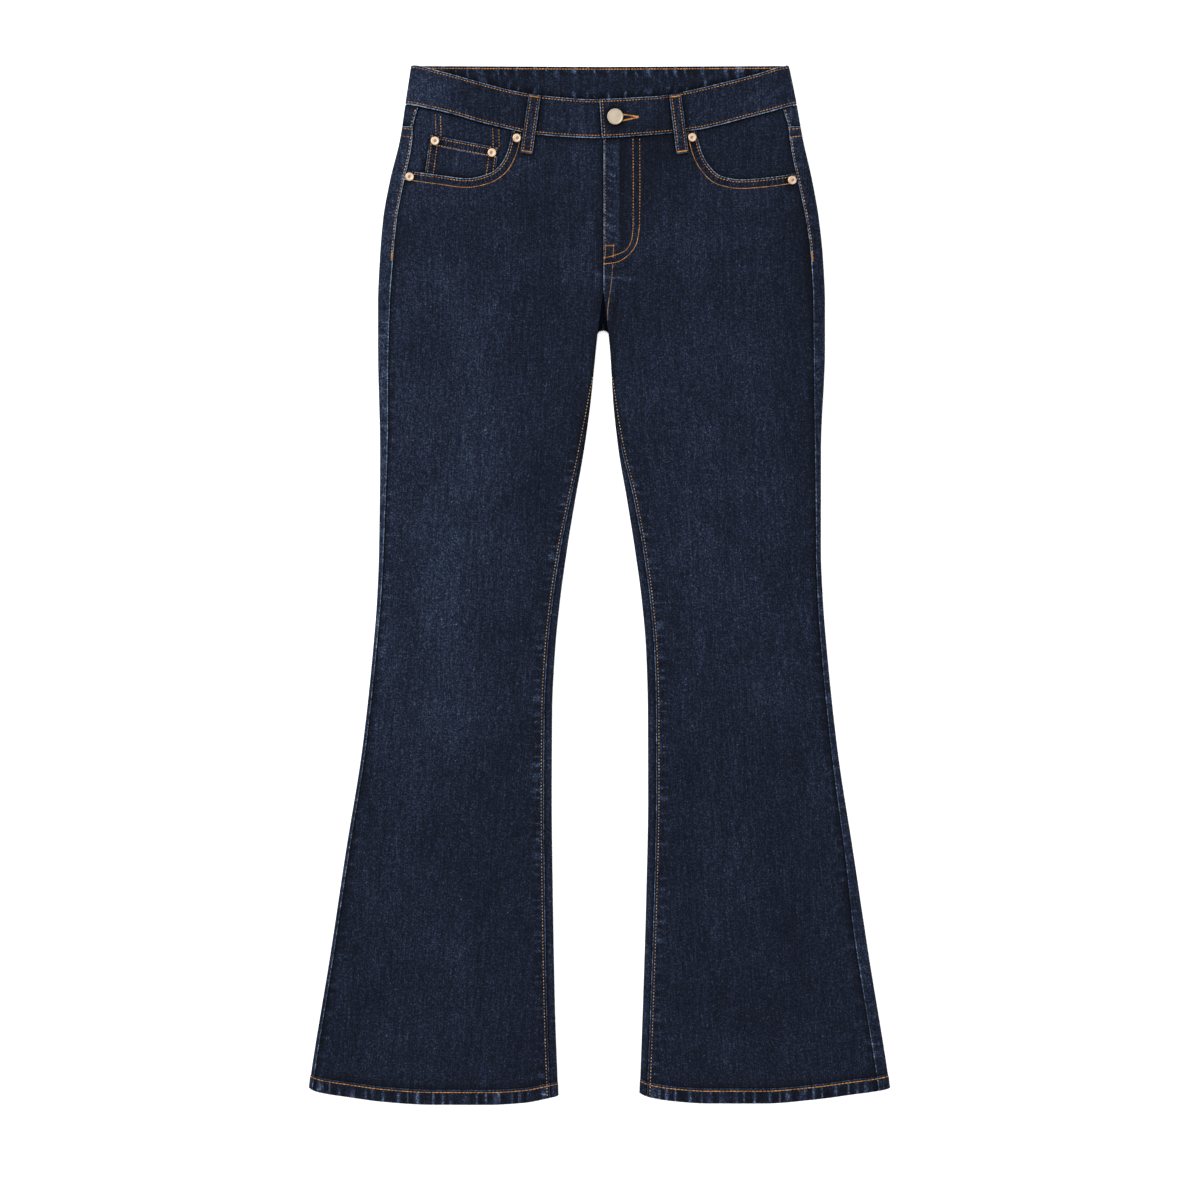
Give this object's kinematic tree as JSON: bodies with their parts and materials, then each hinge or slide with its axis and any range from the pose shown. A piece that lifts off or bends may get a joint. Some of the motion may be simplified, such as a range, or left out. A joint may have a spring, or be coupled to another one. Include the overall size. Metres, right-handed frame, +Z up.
{
  "type": "bootcut jeans",
  "caption": "Dark blue denim jeans with flared legs, laid flat with the front up, with a button and fly, belt loops, riveted front pockets, a coin pocket and plain back pockets.",
  "frame": {"origin": "on the surface the jeans lie on, under the middle of their bounding box", "axes": "+X to the wearer's left, +Y from the hems to the waist, +Z up, away from the surface, towards the front of the jeans"},
  "size_m": [0.6104, 1.0909, 0.0142],
  "materials": {
    "denim": "dark indigo twill",
    "pocket_denim": "dark indigo twill",
    "zip_tape": "woven tape",
    "zip_brass": "satin",
    "button_metal": "satin, pale beige",
    "rivet_copper": "polished copper"
  },
  "bodies": {
    "root": {"front_right": "denim", "front_left": "denim", "back_right": "denim", "back_left": "denim", "yoke_right": "denim", "yoke_left": "denim", "waistband": "denim", "front_pocket_right": "pocket_denim", "front_pocket_left": "pocket_denim", "coin_pocket": "denim", "fly_shield": "denim", "fly_zip": "zip_tape", "zip_slider": "zip_brass", "button": "button_metal", "rivet_pocket_top_right": "rivet_copper", "rivet_pocket_side_right": "rivet_copper", "rivet_pocket_top_left": "rivet_copper", "rivet_pocket_side_left": "rivet_copper", "rivet_coin_side": "rivet_copper", "rivet_coin_middle": "rivet_copper", "belt_loop_front_right": "denim", "belt_loop_front_left": "denim", "belt_loop_back_right": "denim", "belt_loop_back_left": "denim", "belt_loop_back_middle": "denim", "back_pocket_right": "denim", "back_pocket_left": "denim"}
  },
  "joints": []
}
